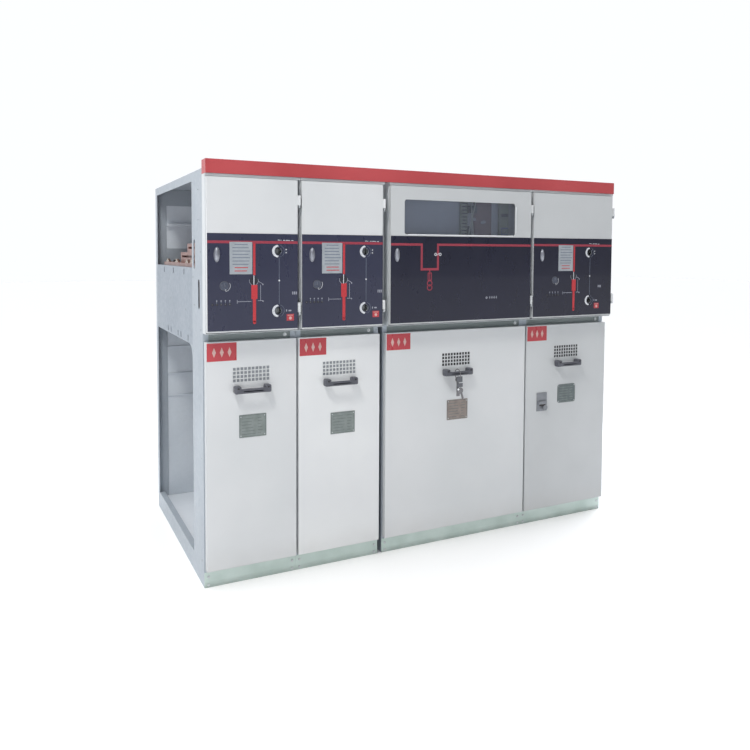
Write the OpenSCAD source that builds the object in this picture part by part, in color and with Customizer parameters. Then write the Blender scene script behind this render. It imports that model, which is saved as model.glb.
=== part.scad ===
// Row of four metal-enclosed, gas-insulated switchgear cubicles for medium voltage.
// X runs along the row, the fronts face -Y, Z is up, and the row stands on z = 0.

/* [Cubicles] */
// Width of each of the two narrow cubicles at the left
narrow_w = 375; // [320:5:460]
// Width of the wide cubicle
wide_w = 750; // [640:10:900]
// Width of the cubicle at the right end
end_w = 500; // [420:10:600]
// Open gap between the second and the third cubicle
row_gap = 20; // [10:1:40]
// Height of the side frames
frame_h = 1615; // [1500:5:1990]
// Depth of the side frames
frame_d = 1000; // [830:10:1200]
// Thickness of the folded frame sheets
sheet_t = 2.5; // [2:0.5:3]

/* [Side frames] */
// Depth of the front post
front_post_d = 175; // [145:5:210]
// Width of the front post's fold in the front plane
post_fold_w = 22; // [18:1:26]
// Depth of the rear post
rear_post_d = 40; // [30:2:50]
// Width of the rear post's fold along the back
rear_fold_w = 52; // [40:2:62]
// Height of the top rail
top_rail_h = 35; // [28:1:42]
// Height of the bottom rail
bottom_rail_h = 78; // [66:2:100]
// Height of the lower edge of the middle side panel
mid_panel_z = 925; // [880:5:950]
// Height of the middle side panel
mid_panel_h = 312; // [260:2:340]
// Radius of the lower window's upper front corner
window_corner_r = 60; // [50:5:80]

/* [Plinth and crossbeam] */
// Height of the plinth strip under each lower door
plinth_h = 60; // [50:2:66]
// Height of the visible gap between a lower and an upper door
door_gap_h = 40; // [34:2:50]

/* [Lower doors] */
// How far the lower doors stand in front of the frame
lower_proud = 25; // [20:1:30]
// Height above the floor of the lower doors' bottom edge
lower_door_z = 70; // [68:1:80]
// Height of the lower doors
lower_door_h = 887; // [740:1:892]
// Gap between a lower door and the edge of its cubicle
lower_margin = 5; // [4:0.5:8]
// Side of a square vent hole
vent_hole = 11; // [9:0.5:12]
// Spacing of the vent holes
vent_pitch = 15; // [14:0.5:18]
// Vent holes across
vent_columns = 10; // [8:1:12]
// Rows of vent holes
vent_rows = 4; // [3:1:5]
// Length of a bridge handle
handle_l = 146; // [122:2:176]
// How far a handle stands off its door
handle_reach = 34; // [30:1:40]
// How far a lower door lifts before its hooks are free
lift_h = 22; // [18:1:26]

/* [Upper doors] */
// How far the upper doors stand in front of the frame
upper_proud = 70; // [64:1:80]
// Depth of the upper doors' folded edge
upper_edge_d = 21; // [18:1:24]
// Height of the upper doors
upper_door_h = 582; // [490:1:660]
// Height of the mimic panel on the upper doors
mimic_h = 367; // [306:1:380]
// Radius of the hinge knuckles
knuckle_r = 5; // [4:0.5:6]
// Length of a hinge knuckle
knuckle_l = 38; // [32:1:46]
// Radius of the holes for the operating handle
socket_r = 14; // [12:1:18]
// Width of the viewing window
pane_w = 575; // [480:5:620]
// Height of the viewing window
pane_h = 145; // [120:1:160]

/* [Header] */
// Height of the header above the upper doors
header_h = 53; // [44:1:64]
// How far the header stands in front of the frame
header_proud = 62; // [52:1:68]

/* [Hidden] */
$fn = 32;
seat = 0.3;         // running gap, and half the seam between two cubicles
skin_t = 2;         // sheet of doors and boxes
label_t = 1.2;      // printed plates
far = 5000;         // longer than any piece, for cuts

widths = [narrow_w, narrow_w, wide_w, end_w];
gaps = [0, 0, row_gap, 0];
units = [0 : 3];
function left(i) = i == 0 ? 0 : left(i - 1) + widths[i - 1] + gaps[i];
row_w = left(3) + widths[3];

lower_door_top = lower_door_z + lower_door_h;
upper_door_z = lower_door_top + door_gap_h;
upper_door_top = upper_door_z + upper_door_h;
box_z = upper_door_z - 7;
box_top = upper_door_top + 13;
box_d = upper_proud - upper_edge_d - seat;
header_top = box_top + header_h;
rear_t = 1.5;
joint_strip_t = 4;  // strips over the joints of the rear covers
back_reach = rear_t + joint_strip_t;
latch_reach = 12;
front_reach = upper_proud + label_t + latch_reach;
window_y = frame_d - rear_post_d;
wall = seat + sheet_t;      // from a cubicle's edge to its frame's inner face
mid_panel_top = mid_panel_z + mid_panel_h;

// the doors' widths and places within a cubicle
upper_left = 2;
hinge_space = 16;
hinge_in = 8;
function upper_w(i) = widths[i] - upper_left - hinge_space;
function lower_w(i) = widths[i] - 2 * lower_margin;
function middle(i) = widths[i] / 2 - 5;
wide = 2;
function fittings_x(i) = middle(i) + 1 - (i == wide ? 10 : 0);

// heights of the fittings on the lower doors, and where each plate lies from the middle
plate_x = [6, 17, -1, 7];
plate_z = [623, 596, 598, 619];
handle_z = 768;
vent_z = 798;

// puts the row's middle over the origin
module row() {
    translate([-row_w / 2, -(frame_d + back_reach - front_reach) / 2, 0])
        children();
}

// the place of cubicle i, with x = 0 at its left side and y = 0 at its front frame
module at_unit(i) {
    row() translate([left(i), 0, 0]) children();
}

module block(x, y, z, w, d, h) {
    translate([x, y, z]) cube([w, d, h]);
}

// a slot through a side sheet, rounded at both ends
module side_slot(y, z, w, h) {
    translate([-1, y, z]) rotate([0, 90, 0]) linear_extrude(sheet_t + 2)
        hull() {
            translate([-w / 2, 0]) circle(d = w, $fn = 16);
            translate([-(h - w / 2), 0]) circle(d = w, $fn = 16);
        }
}

// a flat outline with rounded corners
module rounded_outline(w, h, r) {
    translate([r, 0]) square([w - 2 * r, h]);
    translate([0, r]) square([w, h - 2 * r]);
    for (x = [r, w - r], y = [r, h - r]) translate([x, y]) circle(r = r);
}

slot_w = 28;
slot_h = 118;
slot_drop = 160;        // how far the front slot starts below the middle panel's top
tab_slot_l = 14;
tab_slot_h = 3;
tab_slot_y = 58;
tab_slot_drops = [76, 192];

// web of the front post, with two long slots and two short ones
module front_post() {
    difference() {
        block(0, 0, 0, sheet_t, front_post_d, frame_h);
        side_slot(front_post_d - 40, mid_panel_top - 4, slot_w, slot_h);
        side_slot(front_post_d - 115, mid_panel_top - slot_drop, slot_w, slot_h);
        for (drop = tab_slot_drops)
            block(-1, tab_slot_y, frame_h - drop, sheet_t + 2, tab_slot_l, tab_slot_h);
    }
}

module rear_post() {
    block(0, window_y, 0, sheet_t, rear_post_d, frame_h);
}

rail_lip_w = 26;

// rails between the posts, and the web that rounds the lower window's corner
module side_rail() {
    rail_l = window_y - front_post_d;
    block(0, front_post_d, frame_h - top_rail_h, sheet_t, rail_l, top_rail_h);
    block(0, front_post_d, 0, sheet_t, rail_l, bottom_rail_h);
    block(sheet_t, front_post_d, bottom_rail_h - sheet_t, rail_lip_w - sheet_t, rail_l, sheet_t);
    translate([0, front_post_d, mid_panel_z - window_corner_r]) difference() {
        cube([sheet_t, window_corner_r, window_corner_r]);
        translate([-1, window_corner_r, 0]) rotate([0, 90, 0])
            cylinder(r = window_corner_r, h = sheet_t + 2, $fn = 48);
    }
}

// both sides of a cubicle, a seam's width inside its edges
module both_sides(i) {
    translate([seat, 0, 0]) children();
    translate([widths[i] - seat, 0, 0]) mirror([1, 0, 0]) children();
}

module side_posts(i) {
    color("#b7c0c8") at_unit(i) both_sides(i) {
        front_post();
        rear_post();
    }
}

// the posts' folds in the front and the rear plane
module post_folds() {
    color("#b7c0c8") for (i = units) at_unit(i) both_sides(i) {
        block(sheet_t, 0, 0, post_fold_w - sheet_t, sheet_t, frame_h);
        block(sheet_t, frame_d - sheet_t, 0, rear_fold_w - sheet_t, sheet_t, frame_h);
    }
}

module side_rails() {
    color("#b7c0c8") for (i = units) at_unit(i) both_sides(i) side_rail();
}

small_slot_w = 14;
small_slot_h = 24;
small_slot_edge = 8;
lip_w = 14;
// places of the panel's slots along it, as shares of its length
upper_slots = [0.19, 0.48, 0.76];
lower_slots = [0.1, 0.28, 0.36, 0.56, 0.65];

// panel between the two windows of a side frame, with a lip at its top
module side_panel() {
    difference() {
        union() {
            block(0, front_post_d, mid_panel_z, sheet_t, window_y - front_post_d, mid_panel_h);
            block(0, front_post_d, mid_panel_top - sheet_t, lip_w, window_y - front_post_d, sheet_t);
        }
        for (share = upper_slots)
            block(-1, front_post_d + share * (window_y - front_post_d),
                mid_panel_top - small_slot_edge - small_slot_h, sheet_t + 2, small_slot_w, small_slot_h);
        for (share = lower_slots)
            block(-1, front_post_d + share * (window_y - front_post_d),
                mid_panel_z + small_slot_edge, sheet_t + 2, small_slot_w, small_slot_h);
    }
}

module side_panels() {
    color("#b3bdc6") for (i = units) at_unit(i) both_sides(i) side_panel();
}

module roof_sheets() {
    color("#b0b9c1") for (i = units) at_unit(i)
        block(wall, sheet_t, frame_h - sheet_t, widths[i] - 2 * wall, frame_d - 2 * sheet_t, sheet_t);
}

floor_z = 40;

module floor_plates() {
    color("#c3cad2") for (i = units) at_unit(i)
        block(wall, sheet_t, floor_z, widths[i] - 2 * wall, frame_d - 2 * sheet_t, sheet_t);
}

rear_band_h = 80;

// cross bands between the rear folds
module rear_frames() {
    color("#aeb8c1") for (i = units) at_unit(i)
        for (z = [mid_panel_top, frame_h - sheet_t - rear_band_h])
            block(seat + rear_fold_w, frame_d - sheet_t, z,
                widths[i] - 2 * (seat + rear_fold_w), sheet_t, rear_band_h);
}

cover_edge = 4;
cover_joint_z = mid_panel_top + rear_band_h / 2;
joint_gap = 2;

// an upper and a lower cover sheet on each cubicle, screwed to the rear folds
module rear_covers() {
    color("#9aa5af") for (i = units) at_unit(i) {
        block(cover_edge, frame_d, 0, widths[i] - 2 * cover_edge, rear_t, cover_joint_z - joint_gap / 2);
        block(cover_edge, frame_d, cover_joint_z + joint_gap / 2, widths[i] - 2 * cover_edge,
            rear_t, frame_h - cover_joint_z - joint_gap / 2);
    }
}

rib_t = 6;
low_ribs = [559, 673, 812];
low_rib_h = 5;
high_rib_z = 1430;
high_rib_h = 14;
joint_strip_h = 40;

// stiffening ribs inside the covers, and the strip over each joint outside
module cover_strips() {
    rib_x = rear_fold_w + 2;
    color("#aab4bd") for (i = units) at_unit(i) {
        for (z = low_ribs) block(rib_x, frame_d - rib_t, z, widths[i] - 2 * rib_x, rib_t, low_rib_h);
        block(rib_x, frame_d - 3 * rib_t, high_rib_z, widths[i] - 2 * rib_x, 3 * rib_t, high_rib_h);
        block(cover_edge, frame_d + rear_t, cover_joint_z - joint_strip_h / 2,
            widths[i] - 2 * cover_edge, joint_strip_t, joint_strip_h);
    }
}

screw_in = 16;
screw_heights = [11, 42];
screw_d = 6.5;

module plinth_strips() {
    color("#8fa39c") for (i = units) at_unit(i)
        difference() {
            block(seat, -sheet_t, 0, widths[i] - 2 * seat, sheet_t, plinth_h);
            for (x = [screw_in, widths[i] - screw_in], z = screw_heights)
                translate([x, 1, z]) rotate([90, 0, 0]) cylinder(d = screw_d, h = sheet_t + 2);
        }
}

beam_d = 30;
beam_lap = 12;          // how far the beam reaches down behind the lower doors
beam_bolt_in = 44;
beam_bolt_up = 26;
beam_bolt_d = 9;

// folded beam that the lower doors hang under
module crossbeams() {
    beam_z = lower_door_top - beam_lap;
    beam_h = box_z - beam_z;
    color("#6e7676") for (i = units) at_unit(i)
        difference() {
            block(wall, sheet_t, beam_z, widths[i] - 2 * wall, beam_d, beam_h);
            block(0, 2 * sheet_t, beam_z - 1, far, beam_d - 2 * sheet_t, beam_h + 1 - sheet_t);
            for (x = [beam_bolt_in, widths[i] - beam_bolt_in])
                translate([x, far / 2, beam_z + beam_bolt_up]) rotate([90, 0, 0])
                    cylinder(d = beam_bolt_d, h = far);
        }
}

// sign strip over the upper doors, its top sheet and its two end plates
module header() {
    color("#b04048") row() block(0, -header_proud, box_top, row_w, skin_t, header_h);
}

module header_top() {
    color("#b04048") row()
        block(skin_t, -header_proud + skin_t, header_top - skin_t,
            row_w - 2 * skin_t, header_proud - skin_t, skin_t);
}

module header_ends() {
    color("#b04048") row() for (x = [0, row_w - skin_t])
        block(x, -header_proud + skin_t, box_top, skin_t, header_proud - skin_t, header_h);
}

shaft_from_middle = 97;
shaft_heights = [76, 307];

module shaft_places(i) {
    if (i != wide)
        for (z = shaft_heights) translate([middle(i) + shaft_from_middle, 0, upper_door_z + z]) children();
}

module mechanism_box(i) {
    color("#c9ced2") at_unit(i) difference() {
        block(seat, -box_d, box_z, widths[i] - 2 * seat, box_d, box_top - box_z);
        block(seat + skin_t, -box_d - 1, box_z + skin_t,
            widths[i] - 2 * (seat + skin_t), box_d + 1 - skin_t, box_top - box_z - 2 * skin_t);
    }
}

shaft_r = 11;
shaft_base_r = 19;
shaft_base_h = 8;
shaft_back = 26;        // from the door's front to behind the shaft's tip

// six-sided shaft ends that the operating handle fits
module operating_shafts() {
    color("#8d8f90") for (i = units) at_unit(i) shaft_places(i) {
        translate([0, -skin_t, 0]) rotate([90, 0, 0]) cylinder(r = shaft_base_r, h = shaft_base_h);
        translate([0, -skin_t - shaft_base_h, 0]) rotate([90, 0, 0])
            cylinder(r = shaft_r, h = upper_proud - shaft_back, $fn = 6);
    }
}

// cast resin switch body between the two compartments, on a pair of cross rails
body_w = narrow_w - 2 * (seat + lip_w + 3);
body_rise = 15;         // how far the body's top lies above the side panels
body_y = front_post_d + 25;
body_d = 670;
body_z = mid_panel_z + 120;
body_top = mid_panel_top + body_rise;
ridge_steps = [46, 84];         // heights of the ridge's two steps
ridge_depths = [420, 280];
ridge_in = 30;
groove_h = 9;
groove_drop = 14;
groove_in = 20;
support_h = 30;
support_d = 40;
support_y = [70, body_d - 110];

function body_x(i) = (widths[i] - body_w) / 2;

module switch_body() {
    difference() {
        union() {
            block(0, body_y, body_z, body_w, body_d, body_top - body_z);
            for (i = [0, 1])
                block(ridge_in, body_y, body_top, body_w - 2 * ridge_in, ridge_depths[i], ridge_steps[i]);
        }
        for (i = [0, 1])
            block(-1, body_y - 1, body_top + ridge_steps[i] - groove_drop - groove_h,
                ridge_in + groove_in, ridge_depths[i] - groove_in, groove_h);
    }
}

module switch_bodies() {
    color("#8a6a62") for (i = units) at_unit(i) translate([body_x(i), 0, 0]) switch_body();
}

module switch_supports() {
    color("#aeb8c1") for (i = units, y = support_y) at_unit(i)
        block(wall, body_y + y, body_z - support_h, widths[i] - 2 * wall, support_d, support_h);
}

terminal_y = [110, 200, 420, 636];
terminal_in = 15;
terminal_r = 11;
terminal_h = 6;
stud_r = 8;
stud_h = 9;

module switch_terminals() {
    color("#b9bcbf") for (i = units, y = terminal_y) at_unit(i)
        translate([body_x(i) + terminal_in, body_y + y, body_top]) {
            cylinder(r = terminal_r, h = terminal_h);
            translate([0, 0, terminal_h]) cylinder(r = stud_r, h = stud_h, $fn = 6);
        }
}

hinge_z = [68, 486];

module at_hinges(i) {
    at_unit(i) translate([widths[i] - hinge_in, -upper_proud, upper_door_z]) children();
}

pin_r = 2;
bracket_h = 12;
arm_t = 3;

// pin and bracket of each hinge, fixed to the mechanism box
module hinge_pins() {
    color("#c7cacc") for (i = units, z = hinge_z) at_hinges(i) translate([0, 0, z]) {
        translate([0, 0, -bracket_h]) cylinder(r = knuckle_r, h = bracket_h - seat);
        translate([0, 0, -bracket_h]) cylinder(r = pin_r, h = bracket_h + knuckle_l - 4);
        block(-arm_t, 0, -bracket_h, arm_t, upper_edge_d + seat, bracket_h - seat);
        block(-arm_t, upper_edge_d + seat, -bracket_h,
            arm_t + hinge_in - seat - skin_t, arm_t, bracket_h - seat);
    }
}

module upper_sheet(i) {
    difference() {
        block(upper_left, -upper_proud, upper_door_z, upper_w(i), skin_t, upper_door_h);
        shaft_places(i) rotate([-90, 0, 0]) translate([0, 0, -far / 2]) cylinder(r = socket_r, h = far);
        if (i == wide) at_pane() translate([0, far / 2, 0]) rotate([90, 0, 0])
            linear_extrude(far) rounded_outline(pane_w, pane_h, pane_corner_r);
    }
}

pane_corner_r = 10;
pane_left = 20;         // how far the window lies left of the cubicle's middle
pane_above = 14;        // from the mimic panel's height to the window

module at_pane() {
    translate([(widths[wide] - pane_w) / 2 - pane_left, 0, upper_door_z + mimic_h + pane_above]) children();
}

// knuckles on the door's right edge
module knuckles(i) {
    for (z = hinge_z) translate([0, 0, z]) difference() {
        union() {
            cylinder(r = knuckle_r, h = knuckle_l);
            block(hinge_in - hinge_space - 1, 0, 0, hinge_space - hinge_in + 1, skin_t, knuckle_l);
        }
        translate([0, 0, -1]) cylinder(r = pin_r + seat, h = far);
    }
}

// front sheet of an upper door, with its knuckles
module upper_door(i) {
    color("#dcdee0") union() {
        at_unit(i) upper_sheet(i);
        at_hinges(i) knuckles(i);
    }
}

// folded edges behind the front sheet
module door_folds(i) {
    fold_d = upper_edge_d - skin_t;
    color("#dcdee0") at_unit(i) difference() {
        block(upper_left, -upper_proud + skin_t, upper_door_z, upper_w(i), fold_d, upper_door_h);
        block(upper_left + skin_t, -upper_proud, upper_door_z + skin_t,
            upper_w(i) - 2 * skin_t, far, upper_door_h - 2 * skin_t);
    }
}

mimic_up = 6;

module mimic_panel(i) {
    color("#3a3f58") at_unit(i) difference() {
        block(upper_left, -upper_proud - label_t, upper_door_z + mimic_up, upper_w(i), label_t, mimic_h);
        shaft_places(i) rotate([-90, 0, 0]) translate([0, 0, -far / 2]) cylinder(r = socket_r, h = far);
    }
}

latch_x = [38, 44, 32, 51];
latch_up = 293;
latch_r = 31;           // half its height
latch_plate_t = 4;
latch_boss_r = 8;

// turning latch with a long oval grip
module door_latch(i) {
    color("#c2c5c8") at_unit(i)
        translate([latch_x[i], -upper_proud - label_t, upper_door_z + latch_up]) rotate([90, 0, 0]) {
            linear_extrude(latch_plate_t) scale([0.4, 1]) circle(r = latch_r);
            cylinder(r = latch_boss_r, h = latch_reach);
        }
}

module window_pane() {
    lap = 10;
    glass_t = 3;
    color("#9aa3a8") at_unit(wide) at_pane()
        block(-lap, -upper_proud + skin_t, -lap, pane_w + 2 * lap, glass_t, pane_h + 2 * lap);
}

module vents(i) {
    span_w = (vent_columns - 1) * vent_pitch + vent_hole;
    translate([fittings_x(i) - span_w / 2, 0, vent_z])
        for (column = [0 : vent_columns - 1], line = [0 : vent_rows - 1])
            block(column * vent_pitch, -far / 2, line * vent_pitch, vent_hole, far, vent_hole);
}

module lower_door(i) {
    color("#d3d6d9") at_unit(i) difference() {
        block(lower_margin, -lower_proud, lower_door_z, lower_w(i), lower_proud - seat, lower_door_h);
        block(lower_margin + skin_t, -lower_proud + skin_t, lower_door_z + skin_t,
            lower_w(i) - 2 * skin_t, far, lower_door_h - 2 * skin_t);
        vents(i);
    }
}

foot_w = 22;
bar_t = 12;
bar_h = 26;

// bridge handle: two feet and a bar
module door_handle(i) {
    color("#4b4b50") at_unit(i)
        translate([fittings_x(i) - handle_l / 2, -lower_proud - handle_reach, handle_z - bar_h / 2])
            difference() {
                cube([handle_l, handle_reach, bar_h]);
                block(foot_w, bar_t, -1, handle_l - 2 * foot_w, far, bar_h + 2);
            }
}

plate_w = 110;
plate_h = 90;
plate_corner_r = [2, 2, 2, 12];

module inspection_plate(i) {
    color("#828787") at_unit(i)
        translate([middle(i) + plate_x[i] - plate_w / 2, -lower_proud, plate_z[i] - plate_h / 2])
            rotate([90, 0, 0]) linear_extrude(label_t) rounded_outline(plate_w, plate_h, plate_corner_r[i]);
}

lock_x = 70;
lock_z = 545;
lock_w = 60;
lock_h = 88;
lock_t = 3;
paddle_h = 14;
paddle_reach = 9;
paddle_in = 6;
paddle_up = 34;

// flat lock case with a push paddle
module paddle_lock() {
    color("#8b8f91") at_unit(3) translate([lock_x, -lower_proud - lock_t, lock_z]) {
        cube([lock_w, lock_t, lock_h]);
        block(paddle_in, -paddle_reach, paddle_up, lock_w - 2 * paddle_in, paddle_reach, paddle_h);
    }
}

ring_r = 22;
ring_wire = 2;
bow_r = 11;
bow_hole_r = 4.5;
key_l = 75;
key_w = 9;
key_t = 1.5;
key_space = 2;          // from the ring's middle to each key
ring_left = 18;         // how far the ring hangs left of the wide cubicle's middle

// flat key that hangs from the origin
module key() {
    rotate([90, 0, 0]) linear_extrude(key_t, center = true) difference() {
        union() {
            circle(r = bow_r);
            translate([-key_w / 2, -key_l]) square([key_w, key_l]);
        }
        circle(r = bow_hole_r);
    }
}

// ring hung over the wide door's handle, with two flat keys on it
module key_ring() {
    ring_y = -lower_proud - handle_reach + bar_t / 2;
    drop = sqrt(pow(ring_r - ring_wire - seat, 2) - pow(bar_t / 2, 2));
    ring_z = handle_z + bar_h / 2 - drop;
    color("#8e8676") at_unit(wide) translate([middle(wide) - ring_left, ring_y, ring_z]) {
        rotate([0, 90, 0]) rotate_extrude($fn = 32) translate([ring_r, 0]) circle(r = ring_wire, $fn = 16);
        for (y = [-key_space, key_space])
            translate([0, y, -ring_r + ring_wire + 2 * seat - bow_hole_r]) key();
    }
}

side_posts(0);  // side_posts_1
side_posts(1);  // side_posts_2
side_posts(2);  // side_posts_3
side_posts(3);  // side_posts_4
post_folds();
side_rails();
side_panels();
roof_sheets();
floor_plates();
rear_frames();
rear_covers();
cover_strips();
plinth_strips();
crossbeams();
header();
header_top();
header_ends();
mechanism_box(0);  // mechanism_box_1
mechanism_box(1);  // mechanism_box_2
mechanism_box(2);  // mechanism_box_3
mechanism_box(3);  // mechanism_box_4
operating_shafts();
switch_bodies();
switch_supports();
switch_terminals();
hinge_pins();
upper_door(0);  // upper_door_1
upper_door(1);  // upper_door_2
upper_door(2);  // upper_door_3
upper_door(3);  // upper_door_4
door_folds(0);  // door_folds_1
door_folds(1);  // door_folds_2
door_folds(2);  // door_folds_3
door_folds(3);  // door_folds_4
mimic_panel(0);  // mimic_panel_1
mimic_panel(1);  // mimic_panel_2
mimic_panel(2);  // mimic_panel_3
mimic_panel(3);  // mimic_panel_4
door_latch(0);  // door_latch_1
door_latch(1);  // door_latch_2
door_latch(2);  // door_latch_3
door_latch(3);  // door_latch_4
window_pane();
lower_door(0);  // lower_door_1
lower_door(1);  // lower_door_2
lower_door(2);  // lower_door_3
lower_door(3);  // lower_door_4
door_handle(0);  // door_handle_1
door_handle(1);  // door_handle_2
door_handle(2);  // door_handle_3
door_handle(3);  // door_handle_4
inspection_plate(0);  // inspection_plate_1
inspection_plate(1);  // inspection_plate_2
inspection_plate(2);  // inspection_plate_3
inspection_plate(3);  // inspection_plate_4
paddle_lock();
key_ring();
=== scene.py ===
import math
import random

import bmesh
import bpy
from mathutils import Matrix, Vector


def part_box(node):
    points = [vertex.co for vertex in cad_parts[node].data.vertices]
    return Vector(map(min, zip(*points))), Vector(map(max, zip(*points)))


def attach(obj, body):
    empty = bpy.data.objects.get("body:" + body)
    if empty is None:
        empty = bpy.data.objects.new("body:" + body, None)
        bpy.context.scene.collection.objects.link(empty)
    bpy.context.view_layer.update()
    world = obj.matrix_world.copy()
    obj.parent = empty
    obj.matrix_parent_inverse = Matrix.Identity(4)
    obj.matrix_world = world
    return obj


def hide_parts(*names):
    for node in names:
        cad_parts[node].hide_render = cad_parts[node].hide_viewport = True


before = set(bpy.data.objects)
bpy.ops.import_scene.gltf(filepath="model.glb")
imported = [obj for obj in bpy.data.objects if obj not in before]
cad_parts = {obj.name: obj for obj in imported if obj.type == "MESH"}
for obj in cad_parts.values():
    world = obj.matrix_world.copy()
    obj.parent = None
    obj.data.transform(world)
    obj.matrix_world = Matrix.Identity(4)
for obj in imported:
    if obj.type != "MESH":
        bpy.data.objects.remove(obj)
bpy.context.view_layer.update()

mm = 0.001
random.seed(7)
cubicles = [1, 2, 3, 4]
wideOne = 3


def cornerOf(node):
    # lower left corner of a node's front face
    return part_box(node)[0]


def sizeOf(node):
    low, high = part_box(node)
    return high - low


# ---- camera, light and floor

stage = {
    "cameraFromCorner": (-0.6212, -2.6598, 1.2995),
    "turn": 25.656,
    "lookDown": 2.758,
    "tilt": 0.212,
    "filmWidth": 36,
    "lens": 33.806,
    "shift": (0.0221, -0.1180),
    "floorSize": 60,
    "floorColour": "#FFFFFF",
    "skyColour": "#FAFCFF",
    "skyBehind": 1.03,      # brightness of the backdrop
    "skyInFront": 0.13,
    "skyFade": (-0.1, 0.5),     # the direction's Y where front fades to back
    "skyOverhead": 1.1,     # added towards the zenith
    "overheadFrom": 0.35,
}

# where, aim, size, power, colour
lamps = {
    "keyAbove": ((-2.5, -2.1, 4.8), (-0.5, -0.4, 0.6), 0.9, 108, "#FFFDF8"),
    "leftWindow": ((-3.4, -3.0, 1.5), (-0.9, 0.3, 0.8), 1.8, 17, "#F2F6FF"),
    "rightEnd": ((2.6, 0.3, 1.3), (0.0, 0.2, 0.7), 1.4, 34, "#F4F7FF"),
}


def toLinear(colour):
    channels = [int(colour[i:i + 2], 16) / 255 for i in (1, 3, 5)]
    return [c / 12.92 if c <= 0.04045 else ((c + 0.055) / 1.055) ** 2.4 for c in channels] + [1.0]


def setCamera(scene):
    camera = bpy.data.objects.new("camera", bpy.data.cameras.new("camera"))
    camera.data.sensor_width = stage["filmWidth"]
    camera.data.lens = stage["lens"]
    camera.data.shift_x, camera.data.shift_y = stage["shift"]
    turned = (Matrix.Rotation(-math.radians(stage["turn"]), 4, "Z")
              @ Matrix.Rotation(math.radians(90 - stage["lookDown"]), 4, "X")
              @ Matrix.Rotation(math.radians(stage["tilt"]), 4, "Z"))
    stand = cornerOf("side_posts_1") + Vector(stage["cameraFromCorner"])
    camera.matrix_world = Matrix.Translation(stand) @ turned
    scene.collection.objects.link(camera)
    scene.camera = camera


def setLamps(scene):
    for name, (spot, aim, size, power, colour) in lamps.items():
        lamp = bpy.data.objects.new(name, bpy.data.lights.new(name, "AREA"))
        lamp.data.size = size
        lamp.data.energy = power
        lamp.data.color = toLinear(colour)[:3]
        facing = (Vector(aim) - Vector(spot)).to_track_quat("-Z", "Y").to_matrix().to_4x4()
        lamp.matrix_world = Matrix.Translation(spot) @ facing
        scene.collection.objects.link(lamp)


def setSky(scene):
    # brighter behind the cubicles and overhead, dim in front of them
    world = bpy.data.worlds.new("studio")
    world.use_nodes = True
    nodes, link = world.node_tree.nodes, world.node_tree.links.new
    sky = nodes["Background"]
    sky.inputs["Color"].default_value = toLinear(stage["skyColour"])
    axes = nodes.new("ShaderNodeSeparateXYZ")
    total = nodes.new("ShaderNodeMath")
    link(nodes.new("ShaderNodeTexCoord").outputs["Generated"], axes.inputs["Vector"])
    fades = (("Y", *stage["skyFade"], stage["skyInFront"], stage["skyBehind"]),
             ("Z", stage["overheadFrom"], 1.0, 0.0, stage["skyOverhead"]))
    for slot, (axis, low, high, toLow, toHigh) in enumerate(fades):
        fade = nodes.new("ShaderNodeMapRange")
        for socket, value in (("From Min", low), ("From Max", high), ("To Min", toLow), ("To Max", toHigh)):
            fade.inputs[socket].default_value = value
        link(axes.outputs[axis], fade.inputs["Value"])
        link(fade.outputs["Result"], total.inputs[slot])
    link(total.outputs[0], sky.inputs["Strength"])
    scene.world = world


def setFloor(scene):
    bm = bmesh.new()
    bmesh.ops.create_grid(bm, x_segments=1, y_segments=1, size=stage["floorSize"] / 2)
    mesh = bpy.data.meshes.new("floor")
    bm.to_mesh(mesh)
    bm.free()
    floor = bpy.data.objects.new("floor", mesh)
    scene.collection.objects.link(floor)
    # matt paint, so that the floor takes soft shadows and shows no reflection
    paint = startMaterial("matt floor paint", stage["floorColour"], 0, 0.8)[0]
    mesh.materials.append(paint)


def setStage():
    scene = bpy.context.scene
    scene.view_settings.view_transform = "Standard"
    setCamera(scene)
    setLamps(scene)
    setSky(scene)
    setFloor(scene)


# ---- materials

def addNode(material, kind, settings=None, links=None):
    node = material.node_tree.nodes.new("ShaderNode" + kind)
    for name, value in (settings or {}).items():
        if isinstance(name, str) and hasattr(node, name):
            setattr(node, name, value)
        else:
            node.inputs[name].default_value = value
    for name, source in (links or {}).items():
        material.node_tree.links.new(source, node.inputs[name])
    return node


def startMaterial(name, colour, metallic, roughness):
    material = bpy.data.materials.new(name)
    material.use_nodes = True
    shader = material.node_tree.nodes["Principled BSDF"]
    shader.inputs["Base Color"].default_value = toLinear(colour)
    shader.inputs["Metallic"].default_value = metallic
    shader.inputs["Roughness"].default_value = roughness
    return material, shader


def objectPlace(material, stretch=(1, 1, 1)):
    spot = addNode(material, "TexCoord").outputs["Object"]
    return addNode(material, "Mapping", {"Scale": stretch}, {"Vector": spot}).outputs["Vector"]


def noise(material, spot, grain, detail=2.0, roughness=0.5):
    # grain is the width of one patch, in mm
    return addNode(material, "TexNoise", {"Scale": 1 / (grain * mm), "Detail": detail, "Roughness": roughness},
                   {"Vector": spot}).outputs["Fac"]


def spread(material, value, low, high, toLow=0.0, toHigh=1.0):
    return addNode(material, "MapRange", {"From Min": low, "From Max": high, "To Min": toLow, "To Max": toHigh},
                   {"Value": value}).outputs["Result"]


def blend(material, share, one, other):
    # one and other are hex colours or sockets
    settings, links = {"data_type": "RGBA"}, {"Factor": share}
    for slot, colour in ((6, one), (7, other)):
        if isinstance(colour, str):
            settings[slot] = toLinear(colour)
        else:
            links[slot] = colour
    return addNode(material, "Mix", settings, links).outputs[2]


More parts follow.
